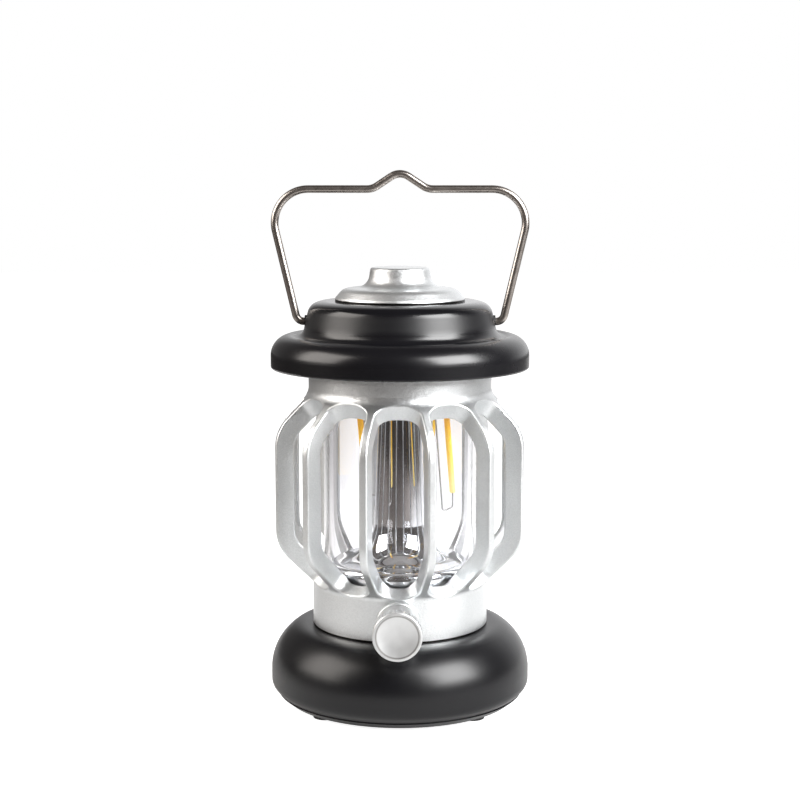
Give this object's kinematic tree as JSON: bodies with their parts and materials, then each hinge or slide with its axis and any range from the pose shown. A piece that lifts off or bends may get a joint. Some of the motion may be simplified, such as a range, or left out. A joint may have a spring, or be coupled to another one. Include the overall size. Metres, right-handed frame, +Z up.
{
  "type": "camping lantern",
  "caption": "Rechargeable table and camping lantern: ribbed silver cage round a clear chimney with LED filaments, black base and cap, dimmer knob and a swinging wire bail.",
  "frame": {"origin": "centre of the base, on the plane that the feet stand on", "axes": "+Z up along the lantern's axis, -Y the front with the dimmer knob, +Y the back with the charging socket"},
  "size_m": [0.102, 0.1078, 0.2081],
  "materials": {
    "base_black": "fine matte black",
    "cap_black": "satin black",
    "silver_paint": "metallic silver paint on plastic, satin",
    "knob_silver": "turned aluminium, satin",
    "bail_steel": "polished plated wire",
    "clear_tube": "clear, polished",
    "mirror_plate": "vacuum plated mirror",
    "filament_yellow": "soft yellow phosphor coat",
    "lead_wire": "bare plated wire",
    "black_rubber": "soft matte",
    "inner_plastic": "moulded",
    "white_plastic": "moulded",
    "steel": "plated",
    "brass": "turned",
    "board_green": "coated board",
    "chip_black": "moulded",
    "cell_wrap": "shrink wrapped",
    "wire_red": "insulated wire",
    "wire_black": "insulated wire"
  },
  "bodies": {
    "lantern": {"base_shell": "base_black", "base_plate": "base_black", "top_cap": "cap_black", "cage_frame": "silver_paint", "finial": "silver_paint", "knob_bezel": "silver_paint", "clear_chimney": "clear_tube", "reflector": "mirror_plate", "led_filament_1": "filament_yellow", "led_filament_2": "filament_yellow", "led_filament_3": "filament_yellow", "led_filament_4": "filament_yellow", "filament_lead_1": "lead_wire", "filament_lead_2": "lead_wire", "filament_lead_3": "lead_wire", "filament_lead_4": "lead_wire", "rubber_feet": "black_rubber", "lower_gasket": "black_rubber", "upper_gasket": "black_rubber", "battery_cradle": "inner_plastic", "lamp_deck": "inner_plastic", "cap_liner": "inner_plastic", "dimmer_body": "inner_plastic", "bail_bushes": "inner_plastic", "ceiling_plate": "white_plastic", "base_screws": "steel", "board_screws": "steel", "reflector_screws": "steel", "liner_screws": "steel", "cap_screws": "steel", "finial_screw": "steel", "usb_socket": "steel", "battery_tabs": "steel", "dimmer_nut": "brass", "charge_board": "board_green", "led_board": "board_green", "charge_chip": "chip_black", "power_coil": "chip_black", "battery_cell": "cell_wrap", "battery_lead_red": "wire_red", "lamp_lead_red": "wire_red", "dimmer_wires": "wire_red", "battery_lead_black": "wire_black", "lamp_lead_black": "wire_black"},
    "bail": {"handle_bail": "bail_steel", "bail_retainers": "steel"},
    "knob": {"dimmer_knob": "knob_silver", "dimmer_shaft": "brass"},
    "plug": {"port_plug": "black_rubber"}
  },
  "joints": [
    {"name": "bail_swing", "type": "hinge", "parent": "lantern", "child": "bail", "pos_m": [0, 0, 0.1498], "axis": [1, 0, 0], "range_deg": [-96, 96]},
    {"name": "knob_turn", "type": "hinge", "parent": "lantern", "child": "knob", "pos_m": [0, -0.0384, 0.0391], "axis": [0, 1, 0], "range_deg": [0, 300]},
    {"name": "plug_pull", "type": "slide", "parent": "lantern", "child": "plug", "axis": [0, 1, 0], "range_m": [0, 0.012]}
  ]
}
